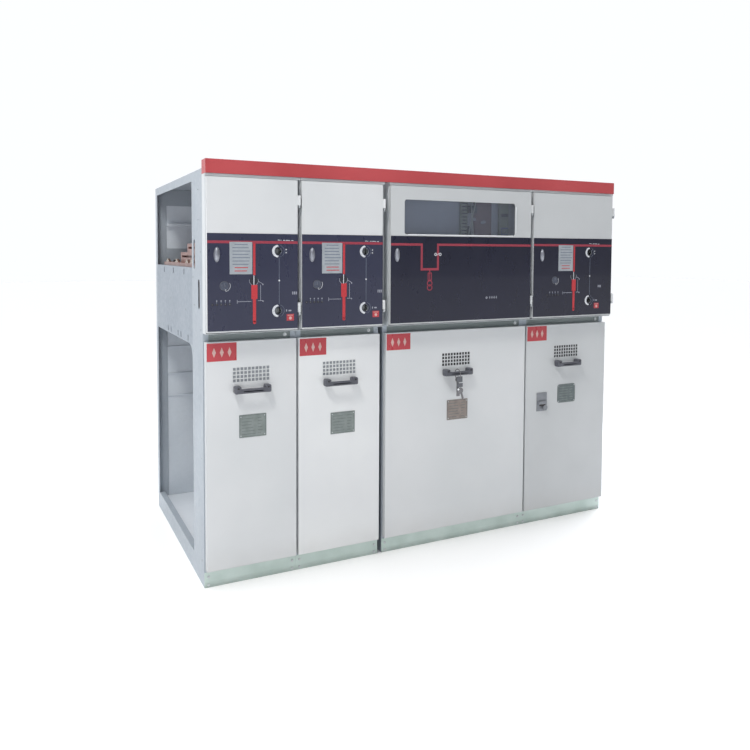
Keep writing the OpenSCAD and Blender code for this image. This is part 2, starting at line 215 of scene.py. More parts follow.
def raise_(material, shader, height, depth, strength=0.5, edge=0.0):
    # depth and edge in mm; edge rounds the folded corners
    bump = addNode(material, "Bump", {"Strength": strength, "Distance": depth * mm}, {"Height": height})
    if edge:
        bevel = addNode(material, "Bevel", {"samples": 6, "Radius": edge * mm})
        material.node_tree.links.new(bevel.outputs["Normal"], bump.inputs["Normal"])
    material.node_tree.links.new(bump.outputs["Normal"], shader.inputs["Normal"])


def connect(material, shader, socket, value):
    material.node_tree.links.new(value, shader.inputs[socket])


coating = {
    "cloud": 420,        # soft patches of the spray pass, mm
    "orangePeel": 3.2,   # real peel is finer than 1.5 mm, drawn coarser so that it shows
    "dustTop": 0.16,     # dust thins out to nothing this high, m
    "fold": 2.5,         # rounding of the folds, mm
}


def powderCoat(name, bright, dull, roughness=0.38):
    # polyester powder coat on folded sheet: even colour, soft orange peel, a breath of dust near the floor
    material, shader = startMaterial(name, bright, 0, roughness)
    spot = objectPlace(material)
    clouds = spread(material, noise(material, spot, coating["cloud"], 3), 0.35, 0.65)
    tone = blend(material, clouds, bright, dull)
    height = addNode(material, "SeparateXYZ", {}, {"Vector": spot}).outputs["Z"]
    dust = spread(material, height, 0.06, coating["dustTop"], 0.22, 0)
    patchy = addNode(material, "Math", {"operation": "MULTIPLY"},
                     {0: dust, 1: noise(material, spot, 60, 4)}).outputs[0]
    connect(material, shader, "Base Color", blend(material, patchy, tone, "#A9A295"))
    wipes = noise(material, objectPlace(material, (1, 1, 0.25)), 90, 4)
    sheen = spread(material, wipes, 0.3, 0.7, roughness - 0.06, roughness + 0.08)
    connect(material, shader, "Roughness", sheen)
    raise_(material, shader, noise(material, spot, coating["orangePeel"], 1), 0.12, 0.35, coating["fold"])
    return material


zinc = {
    "spangle": 14,      # one crystal, mm
    "runs": 260,
    "fold": 1.5,
}


def zincSheet(name, bright, dull, metallic=0.3, roughness=0.42):
    # hot-dip galvanised sheet: crystal spangles, faint vertical runs, matt bloom
    material, shader = startMaterial(name, bright, metallic, roughness)
    spot = objectPlace(material)
    crystals = addNode(material, "TexVoronoi", {"Scale": 1 / (zinc["spangle"] * mm), "Randomness": 1.0},
                       {"Vector": spot}).outputs["Color"]
    grey = addNode(material, "SeparateColor", {}, {"Color": crystals}).outputs[0]
    bloom = spread(material, noise(material, spot, zinc["runs"], 4), 0.3, 0.7)
    mixed = addNode(material, "Math", {"operation": "MULTIPLY_ADD", 1: 0.35},
                    {0: grey, 2: bloom}).outputs[0]
    connect(material, shader, "Base Color", blend(material, spread(material, mixed, 0, 1.35), dull, bright))
    connect(material, shader, "Roughness", spread(material, grey, 0, 1, roughness - 0.07, roughness + 0.1))
    raise_(material, shader, noise(material, spot, 9, 3), 0.15, 0.25, zinc["fold"])
    return material


def scuffedZinc(name, bright, dull):
    # passivated plinth strip: greenish zinc, scuffed grey along the floor
    material, shader = startMaterial(name, bright, 0.45, 0.45)
    spot = objectPlace(material)
    tone = blend(material, spread(material, noise(material, spot, 120, 4), 0.35, 0.65), dull, bright)
    height = addNode(material, "SeparateXYZ", {}, {"Vector": spot}).outputs["Z"]
    low = spread(material, height, 0.0, 0.025, 0.75, 0)
    scuffs = noise(material, objectPlace(material, (0.3, 1, 2)), 18, 6, 0.7)
    share = addNode(material, "Math", {"operation": "MULTIPLY"}, {0: low, 1: scuffs}).outputs[0]
    connect(material, shader, "Base Color", blend(material, share, tone, "#5C6460"))
    connect(material, shader, "Roughness", spread(material, scuffs, 0.3, 0.7, 0.36, 0.58))
    raise_(material, shader, scuffs, 0.2, 0.3)
    return material


def printedFilm(name, bright, dull):
    # screen-printed polycarbonate film: deep even colour, satin face with a fine stipple
    material, shader = startMaterial(name, bright, 0, 0.3)
    spot = objectPlace(material)
    clouds = spread(material, noise(material, spot, 300, 2), 0.3, 0.7)
    connect(material, shader, "Base Color", blend(material, clouds, bright, dull))
    smears = noise(material, objectPlace(material, (1, 1, 0.4)), 45, 5, 0.6)
    connect(material, shader, "Roughness", spread(material, smears, 0.3, 0.75, 0.24, 0.4))
    shader.inputs["Coat Weight"].default_value = 0.15
    raise_(material, shader, noise(material, spot, 2.4, 1), 0.05, 0.3)
    return material


def ink(name, bright, dull):
    # screen ink: flat, with the slight mottling of a mesh print
    material, shader = startMaterial(name, bright, 0, 0.42)
    spot = objectPlace(material)
    connect(material, shader, "Base Color",
            blend(material, spread(material, noise(material, spot, 6, 4), 0.3, 0.7), bright, dull))
    raise_(material, shader, noise(material, spot, 1.5, 1), 0.03, 0.3)
    return material


def brushedMetal(name, bright, dull, roughness=0.3, metallic=1.0, along="X"):
    # satin metal: fine parallel brush lines, a few handling marks
    material, shader = startMaterial(name, bright, metallic, roughness)
    stretch = {"X": (0.04, 1, 1), "Z": (1, 1, 0.04), "none": (1, 1, 1)}[along]
    lines = noise(material, objectPlace(material, stretch), 1.2, 5, 0.6)
    marks = noise(material, objectPlace(material), 22, 4)
    tone = blend(material, spread(material, marks, 0.3, 0.7), bright, dull)
    connect(material, shader, "Base Color", tone)
    sheen = spread(material, lines, 0.3, 0.7, roughness - 0.07, roughness + 0.12)
    connect(material, shader, "Roughness", sheen)
    raise_(material, shader, lines, 0.04, 0.25)
    return material


def mouldedPlastic(name, bright, dull, roughness=0.45, grain=2.2):
    # injection-moulded nylon: spark-eroded grain, slightly paler where hands rub
    material, shader = startMaterial(name, bright, 0, roughness)
    spot = objectPlace(material)
    connect(material, shader, "Base Color",
            blend(material, spread(material, noise(material, spot, 30, 4), 0.35, 0.7), bright, dull))
    connect(material, shader, "Roughness",
            spread(material, noise(material, spot, 14, 3), 0.3, 0.7, roughness - 0.06, roughness + 0.08))
    raise_(material, shader, noise(material, spot, grain, 2), 0.12, 0.35)
    return material


def castResin(name, bright, dull):
    # cast epoxy: silky skin, cloudy filler, faint casting ripple
    material, shader = startMaterial(name, bright, 0, 0.36)
    spot = objectPlace(material)
    filler = spread(material, noise(material, spot, 55, 5, 0.6), 0.3, 0.7)
    connect(material, shader, "Base Color", blend(material, filler, bright, dull))
    connect(material, shader, "Roughness", spread(material, filler, 0, 1, 0.32, 0.45))
    raise_(material, shader, noise(material, spot, 20, 2), 0.2, 0.3)
    return material


def clearGlass(name):
    # toughened glass: faint blue-grey body, clean gloss
    material, shader = startMaterial(name, "#D1D7E4", 0, 0.04)
    shader.inputs["Transmission Weight"].default_value = 0.92
    shader.inputs["IOR"].default_value = 1.5
    wipes = noise(material, objectPlace(material, (0.4, 1, 1)), 60, 4)
    connect(material, shader, "Roughness", spread(material, wipes, 0.4, 0.8, 0.02, 0.12))
    return material


print("stage")
setStage()

print("materials")
doorCoat = powderCoat("powder-coated door steel", "#D7D9DB", "#D0D3D5")
# the greyer and whiter copies of the door coat are painted shade and painted light for the fall of light along
# the row
shadedCoat = powderCoat("powder-coated door steel, painted shade", "#C8CBCD", "#C1C4C6")
paintedLightCoat = powderCoat("powder-coated door steel, painted light", "#E2E4E5", "#DBDDDF")
boxCoat = powderCoat("powder-coated box steel", "#D3D7DA", "#CACFD3", 0.42)
headerCoat = powderCoat("red powder coat", "#BD5054", "#B1474B", 0.34)
frameZinc = zincSheet("galvanised frame sheet", "#B1B9C1", "#A4ADB6")
panelZinc = zincSheet("galvanised panel sheet", "#9DA6B0", "#909AA5")
# painted light: the inner cover and floor sheets are much lighter than the frame's zinc so that the dim
# interior reads brighter
litCoverZinc = zincSheet("galvanised cover sheet, lightened as painted light", "#D8DFE6", "#CBD3DB", 0.1, 0.5)
litFloorZinc = zincSheet("galvanised floor sheet, lightened as painted light", "#E4E9EF", "#D9E0E7", 0.1, 0.5)
# the beam's grey-green zinc, darkened further as painted shade for its place under the box's overhang; the side
# rivets reuse it
shadedBeamZinc = zincSheet("galvanised beam sheet, darkened as painted shade", "#8F9797", "#7C8585", 0.4, 0.5)
plinthZinc = scuffedZinc("passivated plinth zinc", "#CFDDD8", "#C0D0CA")
navyFilm = printedFilm("navy polycarbonate film", "#31344A", "#2B2E44")
# painted shade: a darker copy of the navy film for the right-hand panels, which catch less reflection
shadedNavyFilm = printedFilm("navy film, painted shade", "#1A1C31", "#16182B")
redInk = ink("red screen ink", "#C4383F", "#B4323A")
crimsonInk = ink("crimson screen ink", "#9F3B4B", "#903545")
whiteInk = ink("white screen ink", "#DADCE1", "#C6CAD1")
blackInk = ink("black screen ink", "#22242C", "#2C2E38")
slateInk = ink("slate screen ink", "#6B7484", "#7B8494")
greyInk = ink("pale grey screen ink", "#A9ACB8", "#9A9DAA")
signRed = printedFilm("red vinyl sign", "#BC3F48", "#AE3740")
paleInk = ink("pale screen ink", "#D4B2AD", "#C8A29D")
satinChrome = brushedMetal("satin chromed zinc", "#A4A7B0", "#9497A1", 0.38, 0.7, "none")
lockGrey = brushedMetal("painted die-cast lock", "#8A8D93", "#7E8187", 0.4, 0.3, "none")
zincBolt = brushedMetal("bright zinc-plated steel", "#D0D4D6", "#B8BDC0", 0.28, 1.0, "none")
shaftSteel = brushedMetal("turned shaft steel", "#8F9294", "#7E8183", 0.32, 1.0, "Z")
anodised = brushedMetal("etched aluminium plate", "#8B9391", "#7D8583", 0.4, 0.55)
brownPlate = brushedMetal("aged etched plate", "#968C86", "#857B76", 0.42, 0.5)
darkPlate = brushedMetal("grey etched plate", "#6F7879", "#636C6D", 0.42, 0.5)
silverPlate = brushedMetal("brushed aluminium label", "#B8BEC4", "#AAB1B8", 0.4, 0.5)
keyMetal = brushedMetal("worn nickel silver", "#8C8B8E", "#77767A", 0.36, 0.7, "Z")
# painted highlight on the key bow
keyGlintPainted = brushedMetal("key glint, painted highlight", "#F6F8FA", "#ECEFF2", 0.4, 0.2, "none")
tinnedCopper = brushedMetal("tin-plated copper", "#D8D0C6", "#C5BAAE", 0.24, 1.0, "none")
handleNylon = mouldedPlastic("glass-filled grey nylon", "#50525A", "#5B5D65")
tabGrey = mouldedPlastic("grey plastic key tab", "#66696F", "#5A5D63", 0.5, 3)
blackBoot = mouldedPlastic("black rubber boot", "#2A2627", "#343031", 0.6, 3)
gaugeFace = mouldedPlastic("smoked gauge glass", "#4F5463", "#494E5C", 0.25, 6)
ductGrey = mouldedPlastic("slotted PVC duct", "#99A28F", "#8A9381", 0.5)
relayBlack = mouldedPlastic("black relay housing", "#454C50", "#4F565A", 0.5)
terminalBrown = mouldedPlastic("phenolic terminal board", "#8F7678", "#836B6D", 0.5)
blueSleeve = mouldedPlastic("blue wire sleeve", "#6C789F", "#616D93", 0.5)
paleWire = mouldedPlastic("pale cable jacket", "#C6CCBE", "#B9BFB1", 0.5)
meshBlack = mouldedPlastic("black vent screen", "#3C3B3F", "#343337", 0.7, 1.5)
meshGrey = mouldedPlastic("grey vent screen", "#9BA0A5", "#8E9398", 0.7, 1.5)
# painted highlight for the lit edge of the window opening
windowEdgeHighlight = mouldedPlastic("white painted edge highlight", "#F4F6F8", "#ECEFF2", 0.5, 3)
resin = castResin("cast epoxy resin", "#936E66", "#83605A")
paneGlass = clearGlass("toughened glass")

print("CAD nodes")
finishes = {
    "side_rails": frameZinc,
    "side_panels": panelZinc,
    "roof_sheets": frameZinc,
    "floor_plates": litFloorZinc,
    "rear_frames": frameZinc,
    "rear_covers": litCoverZinc,
    "plinth_strips": plinthZinc,
    "crossbeams": shadedBeamZinc,
    "header": headerCoat,
    "header_top": headerCoat,
    "header_ends": headerCoat,
    "post_folds": frameZinc,
    "cover_strips": litCoverZinc,
    "operating_shafts": shaftSteel,
    "switch_bodies": resin,
    "switch_supports": frameZinc,
    "switch_terminals": tinnedCopper,
    "hinge_pins": zincBolt,
    "window_pane": paneGlass,
    "paddle_lock": lockGrey,
    "key_ring": keyMetal,
    "inspection_plate_1": anodised,
    "inspection_plate_2": anodised,
    "inspection_plate_3": brownPlate,
    "inspection_plate_4": darkPlate,
}
for number in cubicles:
    finishes[f"side_posts_{number}"] = frameZinc
    finishes[f"mechanism_box_{number}"] = boxCoat
    # painted shade on upper doors 3 and 4 and lower door 4, painted light on lower door 2, by a darker or
    # lighter copy of the coat
    upperFinish = {3: shadedCoat, 4: shadedCoat}.get(number, doorCoat)
    lowerFinish = {2: paintedLightCoat, 4: shadedCoat}.get(number, doorCoat)
    finishes[f"upper_door_{number}"] = upperFinish
    finishes[f"door_folds_{number}"] = upperFinish
    finishes[f"lower_door_{number}"] = lowerFinish
    # panels 3 and 4 take the painted-shade copy of the navy film
    finishes[f"mimic_panel_{number}"] = navyFilm if number < wideOne else shadedNavyFilm
    finishes[f"door_latch_{number}"] = satinChrome
    finishes[f"door_handle_{number}"] = handleNylon

for node, finish in finishes.items():
    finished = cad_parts[node].data.materials
    finished.clear()
    finished.append(finish)


# ---- shapes, all in mm from a corner given in metres

def makePiece(name, body, materials, slot, build, *details):
    bm = bmesh.new()
    build(bm, *details)
    bmesh.ops.recalc_face_normals(bm, faces=bm.faces)
    mesh = bpy.data.meshes.new(name)
    bm.to_mesh(mesh)
    bm.free()
    for material in materials:
        mesh.materials.append(material)
    piece = bpy.data.objects.new(name, mesh)
    bpy.context.scene.collection.objects.link(piece)
    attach(piece, body)
    return piece


def place(bm, verts, corner, at, part=0):
    bmesh.ops.scale(bm, vec=(mm, mm, mm), verts=verts)
    bmesh.ops.translate(bm, vec=corner + Vector(at) * mm, verts=verts)
    for face in {face for vert in verts for face in vert.link_faces}:
        face.material_index = part


def block(bm, corner, at, size, part=0, soften=0.0, segments=2):
    # a box whose lower left front corner is at
    verts = bmesh.ops.create_cube(bm, size=1)["verts"]
    bmesh.ops.scale(bm, vec=size, verts=verts)
    place(bm, verts, corner, Vector(at) + Vector(size) / 2, part)
    if soften:
        edges = list({edge for vert in verts for edge in vert.link_edges})
        bmesh.ops.bevel(bm, geom=edges, offset=soften * mm, segments=segments, profile=0.5,
                        affect="EDGES", material=-1)


def disc(bm, corner, at, radius, depth, part=0, sides=32, tip=None, soften=0.0):
    # a round that starts at the face and stands depth proud towards the front
    verts = bmesh.ops.create_cone(bm, cap_ends=True, cap_tris=False, segments=sides, depth=depth,
                                  radius1=radius if tip is None else tip, radius2=radius)["verts"]
    bmesh.ops.rotate(bm, cent=(0, 0, 0), matrix=Matrix.Rotation(math.radians(-90), 3, "X"), verts=verts)
    place(bm, verts, corner, (at[0], at[1] - depth / 2, at[2]), part)
    if soften:
        front = min(vert.co.y for vert in verts)
        edges = {edge for vert in verts for edge in vert.link_edges
                 if all(abs(end.co.y - front) < 1e-6 for end in edge.verts)}
        bmesh.ops.bevel(bm, geom=list(edges), offset=soften * mm, segments=2, profile=0.5,
                        affect="EDGES", material=-1)


def arc(bm, corner, at, inner, outer, start, sweep, depth, part=0, steps=32, shiftInner=0.0):
    # a flat ring or a part of one, angles in degrees anticlockwise from +X
    full = abs(sweep) >= 360
    verts = bmesh.ops.create_cube(bm, size=1)["verts"]
    bmesh.ops.scale(bm, vec=(outer - inner, depth, 1), verts=verts)
    bmesh.ops.translate(bm, vec=((outer + inner) / 2, -depth / 2, 0), verts=verts)
    keep = [vert for vert in verts if vert.co.z < 0]
    bmesh.ops.delete(bm, geom=[vert for vert in verts if vert.co.z > 0], context="VERTS")
    for vert in keep:
        vert.co.z = 0
    bmesh.ops.rotate(bm, cent=(0, 0, 0), matrix=Matrix.Rotation(math.radians(-start), 3, "Y"), verts=keep)
    profile = keep + list({edge for vert in keep for edge in vert.link_edges})
    profile += list({face for vert in keep for face in vert.link_faces})
    before = set(bm.verts) - set(keep)
    bmesh.ops.spin(bm, geom=profile, cent=(0, 0, 0), axis=(0, -1, 0), angle=math.radians(sweep),
                   steps=steps, use_merge=full)
    made = [vert for vert in bm.verts if vert not in before]
    if shiftInner:
        middle = (inner + outer) / 2
        bmesh.ops.translate(bm, vec=(shiftInner, 0, 0),
                            verts=[vert for vert in made if math.hypot(vert.co.x, vert.co.z) < middle])
    place(bm, made, corner, at, part)


def stud(bm, centre, axis, radius, height, part=0, sides=20):
    # a round or hexagon that stands on a face, axis outwards, centre in metres
    verts = bmesh.ops.create_cone(bm, cap_ends=True, segments=sides, depth=height,
                                  radius1=radius, radius2=radius * 0.9)["verts"]
    bmesh.ops.translate(bm, vec=(0, 0, height / 2), verts=verts)
    bmesh.ops.rotate(bm, cent=(0, 0, 0), verts=verts,
                     matrix=Vector(axis).to_track_quat("Z", "Y").to_matrix())
    place(bm, verts, Vector(centre), (0, 0, 0), part)


def bolt(bm, corner, at, across, height, part=0):
    # hexagon bolt head on a washer
    washer = 1.0
    disc(bm, corner, at, across * 0.95, washer, part, 20)
    disc(bm, corner, (at[0], at[1] - washer, at[2]), across / 2 / math.cos(math.radians(30)), height,
         part, 6, None, 0.5)


def panScrew(bm, corner, at, radius, part=0):
    # domed screw head with a slot
    height, slot = radius * 0.45, 1.0
    disc(bm, corner, at, radius, height, part, 20, None, radius * 0.3)
    block(bm, corner, (at[0] - radius * 0.7, at[1] - height - 0.15, at[2] - slot / 2),
          (radius * 1.4, 0.3, slot), part)


# ---- printed mimic diagrams on the upper doors

mimic = {
    "ink": 0.2,             # thickness of one print pass
    "busHeight": 334.5,
    "busWidth": 10,
    "middleShift": 2,       # the diagram's middle lies this far right of the panel's
}


def panelFrame(number):
    # the panel's corner in metres, and the diagram's middle in mm
    panel = f"mimic_panel_{number}"
    return cornerOf(panel), sizeOf(panel).x / mm / 2 + mimic["middleShift"]


def strip(bm, corner, left, bottom, width, height, part=0, passes=1):
    # one printed bar
    thick = passes * mimic["ink"]
    block(bm, corner, (left, -thick, bottom), (width, thick, height), part)


# bars about the diagram's middle: width, bottom, height
switch = {
    "drop": (9, 209),
    "blade": (24, 118, 54),
    "tail": (12.4, 30, 88),
    "tailRound": 2,         # how far below the tail its round end is centred
    "ringLeft": 2,
    "ringHeight": 188,
    "ring": (17, 18.4),     # inner and outer radius
    "ringSweep": (165, 215),
    "contact": (3.0, 172, 36),
    "contactLeft": 3.4,
}


def switchLines(bm, number):
    corner, middle = panelFrame(number)
    bus, line = mimic["busHeight"], mimic["busWidth"]
    strip(bm, corner, 0, bus - line / 2, sizeOf(f"mimic_panel_{number}").x / mm, line, 1)
    wide, foot = switch["drop"]
    strip(bm, corner, middle - wide / 2, foot, wide, bus - line / 2 - foot)
    wide, foot, tall = switch["blade"]
    strip(bm, corner, middle - wide / 2, foot, wide, tall, 0, 3)
    wide, foot, tall = switch["tail"]
    strip(bm, corner, middle - wide / 2, foot, wide, tall, 0, 2)
    disc(bm, corner, (middle, 0, foot - switch["tailRound"]), wide / 2, 2 * mimic["ink"], 0, 20)


linkage = {
    # left of each bar from the middle, bottom, width, height
    "bars": ((-68, 108.5, 56, 1.8), (-68, 102, 1.8, 14), (24, 112, 1.4, 60), (14, 110.5, 20, 1.6)),
    "slantFrom": (16, 184),
    "slantStep": (2.2, -1.3),
    "slantDashes": 8,
    "dash": (2.6, 1.7),
    "tipLeft": 34,
    "tipHeights": (173, 109),
    "tipRadius": 3.6,
}

socket = {
    "fromMiddle": 97,
    "heights": (70, 301),
    "crescent": (18, 24),           # inner and outer radius
    "crescentSweep": (94, 172),
    "crescentLeft": 2,
    "taper": 4.0,                   # how far its inner edge moves right
    # inner and outer radius, start, sweep, print passes
    "rings": ((11, 12, -60, 120, 2.2), (22.8, 23.8, -70, 140, 1.0)),
    "line": (2, 1.5, 27),           # shift, width, gap at either end
    "dot": (2.6, 2, 3.4),           # shift, rise from the middle, radius
}

glyphs = {
    "upperPair": (29, 4.5, 6),      # right of the socket, size, half their spacing
    "trio": (56, 132, 7.5),         # right of the socket, bottom, spacing
    "lowerPair": ((31, -4, 3.5, 8), (41, -3, 11, 5)),
    "dashes": (9, 4, 8, 11, 6, 9),
    "dashesFrom": (-3, 342.5),
    "dashPitch": (11, -0.3),
    "dashHeight": 2.2,
}


def switchMarks(bm, number):
    corner, middle = panelFrame(number)
    ink = mimic["ink"]
    centre = (middle - switch["ringLeft"], 0, switch["ringHeight"])
    inner, outer = switch["ring"]
    arc(bm, corner, centre, inner, outer, *switch["ringSweep"], ink, 2)
    disc(bm, corner, centre, inner - ink, ink, 1)
    wide, foot, tall = switch["contact"]
    strip(bm, corner, middle - switch["contactLeft"], foot, wide, tall, 0, 4)
    for left, bottom, wide, tall in linkage["bars"]:
        strip(bm, corner, middle + left, bottom, wide, tall, 2)
    left, bottom = linkage["slantFrom"]
    right, up = linkage["slantStep"]
    for step in range(linkage["slantDashes"]):
        strip(bm, corner, middle + left + right * step, bottom + up * step, *linkage["dash"], 2)
    for height in linkage["tipHeights"]:
        disc(bm, corner, (middle + linkage["tipLeft"], 0, height), linkage["tipRadius"], 1.5 * ink, 2, 3)
    socketMarks(bm, corner, middle + socket["fromMiddle"])
    smallGlyphs(bm, corner, middle + socket["fromMiddle"])


def socketMarks(bm, corner, x):
    # crescents and thin rings round the two operating sockets, and the line between them
    ink = mimic["ink"]
    low, high = socket["heights"]
    shift, wide, gap = socket["line"]
    strip(bm, corner, x + shift, low + gap, wide, high - low - 2 * gap, 3)
    shift, rise, radius = socket["dot"]
    disc(bm, corner, (x + shift, 0, (low + high) / 2 + rise), radius, 2 * ink)
    for z in socket["heights"]:
        arc(bm, corner, (x - socket["crescentLeft"], 0, z), *socket["crescent"], *socket["crescentSweep"],
            2 * ink, 0, 40, socket["taper"])
        for inner, outer, start, sweep, passes in socket["rings"]:
            arc(bm, corner, (x, 0, z), inner, outer, start, sweep, passes * ink, 3)


def smallGlyphs(bm, corner, x):
    # plain squares and dashes where small print would be
    low, high = socket["heights"]
    left, size, spacing = glyphs["upperPair"]
    for step in (-spacing, spacing):
        strip(bm, corner, x + left, high + step - 2, size, size)
    left, bottom, spacing = glyphs["trio"]
    for step in range(3):
        strip(bm, corner, x + left + spacing * step, bottom, 4.5, 11, 2)
        strip(bm, corner, x + left - 1 + spacing * step, bottom + 4, 6, 1.8, 2)
    for left, bottom, wide, tall in glyphs["lowerPair"]:
        strip(bm, corner, x + left, low + bottom, wide, tall, 2)
    left, bottom = glyphs["dashesFrom"]
    right, up = glyphs["dashPitch"]
    for step, length in enumerate(glyphs["dashes"]):
        strip(bm, corner, x + left + right * step, bottom + up * step, length, glyphs["dashHeight"])


gauge = {
    "fromMiddle": -117,
    "height": 170,
    "radius": 17.5,
    "proud": 1.6,
    "bezel": 1.6,
    "needle": (1.0, 13, 3),         # width, length, how far it reaches below the hub
    "hub": 1.8,
    "arc": (3, 4.4),                # radii beyond the gauge's own
    "arcSweep": (-82, 110),
    "pointer": (5, 2, 1.9),         # right, up from the rim, radius
}


def makeGauge(bm, number):
    # gas density gauge: smoked face in a thin bezel, and the printed arc beside it
    corner, middle = panelFrame(number)
    x, z, radius, proud = middle + gauge["fromMiddle"], gauge["height"], gauge["radius"], gauge["proud"]
    disc(bm, corner, (x, 0, z), radius, proud, 0, 40, None, 0.5)
    disc(bm, corner, (x, -proud, z), radius - gauge["bezel"], 0.4, 1, 40)
    wide, long, below = gauge["needle"]
    block(bm, corner, (x - wide / 2, -proud - 0.6, z - below), (wide, 0.3, long), 2)
    disc(bm, corner, (x, -proud - 0.4, z), gauge["hub"], 0.6, 0, 16)
    inner, outer = gauge["arc"]
    arc(bm, corner, (x + 2, 0, z), radius + inner, radius + outer, *gauge["arcSweep"], 0.4, 3, 28)
    right, up, dot = gauge["pointer"]
    disc(bm, corner, (x + right, 0, z - radius + up), dot, 2.2, 3, 12)


lampRow = {
    "left": -162,           # from the middle
    "height": 100,
    "pitch": 16.5,
    "count": 5,
    "ring": (1.8, 4.2),     # inner and outer radius
    "proud": 1.4,
    "stroke": (2.0, 12),
    "strokeRise": 4,
    "dot": (14, 2.3),       # rise, radius
}


def makeLampRow(bm, number):
    # voltage indicator sockets, all but the first with a small printed stroke over them
    corner, middle = panelFrame(number)
    ink, (inner, outer), proud = mimic["ink"], lampRow["ring"], lampRow["proud"]
    z = lampRow["height"]
    for index in range(lampRow["count"]):
        x = middle + lampRow["left"] + index * lampRow["pitch"]
        arc(bm, corner, (x, 0, z), inner, outer, 0, 360, proud, 0, 16)
        disc(bm, corner, (x, 0, z), inner, proud / 2, 1, 12)
        if index:
            wide, tall = lampRow["stroke"]
            strip(bm, corner, x - wide / 2, z + lampRow["strokeRise"], wide, tall, 1)
            rise, radius = lampRow["dot"]
            disc(bm, corner, (x, 0, z + rise), radius, 2 * ink, 2, 12)


instructions = {
    "left": -96,            # from the middle
    "bottom": 213,
    "size": (88, 122),
    "thick": 0.8,
    "lines": 9,
    "linePitch": 12.5,
    "lineHeight": 3.2,
    "margin": 11,
    "indent": 8,
    "indented": (0, 7, 8),
    "red": (7, 8),
}


def makeInstructionPlate(bm, number):
    # aluminium label with plain dashes for its lines of print
    corner, middle = panelFrame(number)
    wide, tall = instructions["size"]
    x, bottom, thick = middle + instructions["left"], instructions["bottom"], instructions["thick"]
    margin = instructions["margin"]
    block(bm, corner, (x, -thick, bottom), (wide, thick, tall), 0, 0.3)
    for line in range(instructions["lines"]):
        z = bottom + tall - margin - line * instructions["linePitch"]
        indent = instructions["indent"] if line in instructions["indented"] else 0
        length = (wide - margin - 4 - 2 * indent) * random.uniform(0.84, 1.0)
        block(bm, corner, (x + margin + indent, -thick - 0.15, z),
              (length, 0.2, instructions["lineHeight"]), 2 if line in instructions["red"] else 1)


redTag = {"fromMiddle": 130, "bottom": 30, "size": (30, 26), "thick": 0.6}


def makeRedTag(bm, number):
    corner, middle = panelFrame(number)
    x, z, thick = middle + redTag["fromMiddle"], redTag["bottom"], redTag["thick"]
    wide, tall = redTag["size"]
    block(bm, corner, (x, -thick, z), (wide, thick, tall), 0, 0.2)
    block(bm, corner, (x + 4, -thick - 0.15, z + tall - 6), (wide - 8, 0.3, 2), 1)
    disc(bm, corner, (x + wide / 2, -thick, z + 10), 6, 0.3, 1, 20)


latchGrip = {
    "dome": (10, 10.5, 26),         # half its width, height above the flange, half its length
    "flange": (11.4, 1.6, 28.5),
}


def makeLatch(bm, number):
    # turning latch: a long oval dome on a thin flange
    low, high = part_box(f"door_latch_{number}")
    centre = Vector(((low.x + high.x) / 2, high.y, (low.z + high.z) / 2))
    verts = bmesh.ops.create_uvsphere(bm, u_segments=32, v_segments=20, radius=1)["verts"]
    bmesh.ops.scale(bm, vec=latchGrip["dome"], verts=verts)
    place(bm, verts, centre, (0, 0, 0))
    whole = list(bm.verts) + list(bm.edges) + list(bm.faces)
    bmesh.ops.bisect_plane(bm, geom=whole, plane_co=centre, plane_no=(0, 1, 0), clear_outer=True)
    bmesh.ops.holes_fill(bm, edges=[edge for edge in bm.edges if edge.is_boundary])
    verts = bmesh.ops.create_cone(bm, cap_ends=True, segments=48, radius1=1, radius2=1, depth=1)["verts"]
    bmesh.ops.rotate(bm, cent=(0, 0, 0), matrix=Matrix.Rotation(math.radians(90), 3, "X"), verts=verts)
    bmesh.ops.scale(bm, vec=latchGrip["flange"], verts=verts)
    place(bm, verts, centre, (0, -latchGrip["flange"][1] / 2, 0))


wideBus = {
    "drop": 3,              # the bus lies this much lower on the wide panel
    "loop": (149, 230, 226),        # left leg, right leg, height of the bar between them
    "stem": (5, 205),
    "fuse": (20, 34, 3.5, 178),     # width, height, line, bottom
    "rings": (9.5, 13.5, (166, 148)),
}


def makeWideLines(bm, number):
    # the bus dips into a loop, with a fuse and two rings hanging from it
    panel = f"mimic_panel_{number}"
    corner, width = cornerOf(panel), sizeOf(panel).x / mm
    ink, line = mimic["ink"], mimic["busWidth"]
    bus = mimic["busHeight"] - wideBus["drop"]
    left, right, low = wideBus["loop"]
    half = line / 2
    strip(bm, corner, 0, bus - half, left + half, line)
    strip(bm, corner, left - half, low - half, line, bus - low)
    strip(bm, corner, left + half, low - half, right - left - line, line)
    strip(bm, corner, right - half, low - half, line, bus - low)
    strip(bm, corner, right - half, bus - half, width - right + half, line)
    x = (left + right) / 2
    wide, foot = wideBus["stem"]
    strip(bm, corner, x - wide / 2, foot, wide, low - half - foot)
    wide, tall, line, foot = wideBus["fuse"]
    for side in (-wide / 2, wide / 2 - line):
        strip(bm, corner, x + side, foot, line, tall)
    for z in (foot, foot + tall - line):
        strip(bm, corner, x - wide / 2 + line, z, wide - 2 * line, line)
    strip(bm, corner, x - 1.5, foot + line, 3, tall - 2 * line, 0, 2)
    inner, outer, heights = wideBus["rings"]
    for z in heights:
        arc(bm, corner, (x, 0, z), inner, outer, 0, 360, ink * 1.5, 0, 28)


wideGlyphs = {
    "rings": (218, 241, 290),       # two places, height
    "ring": (3.4, 6.4),
    "slant": (228, 289, 3, 2.4),    # middle, bottom, steps right and up
    "label": (487, 97),
    "bars": (503, 92, 12),          # first one, bottom, pitch
}


